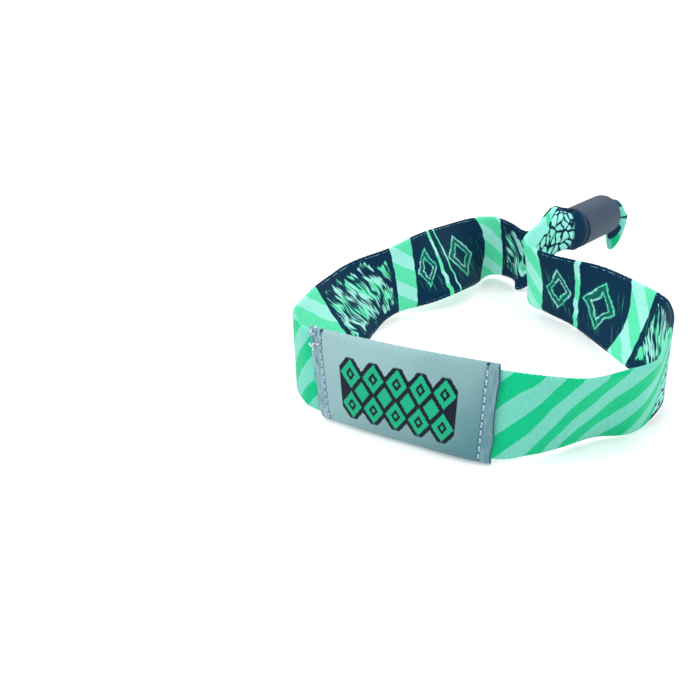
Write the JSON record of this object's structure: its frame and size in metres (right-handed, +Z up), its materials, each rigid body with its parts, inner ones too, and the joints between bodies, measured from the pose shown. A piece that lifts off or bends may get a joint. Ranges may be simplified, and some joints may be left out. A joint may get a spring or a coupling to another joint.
{
  "type": "woven fabric wristband",
  "caption": "Woven cloth ribbon standing as a loose loop, with a flat satin pouch threaded on its front and a barrel lock that gathers both of its ends.",
  "frame": {"origin": "middle of the whole wristband's outline, on the surface that it stands on", "axes": "+Z up through the loop, the front with the pouch looks along -Y, the lock is at the back right"},
  "size_m": [0.0736, 0.0812, 0.0205],
  "materials": {
    "band_cloth": "woven polyester ribbon, diagonal mint and green stripes with dark navy fields",
    "pouch_satin": "grey-teal satin with a plain printed motif and stitched hems",
    "lock_plastic": "dark charcoal moulded plastic, matte"
  },
  "bodies": {
    "root": {"band": "band_cloth", "pouch": "pouch_satin", "lock": "lock_plastic"}
  },
  "joints": []
}
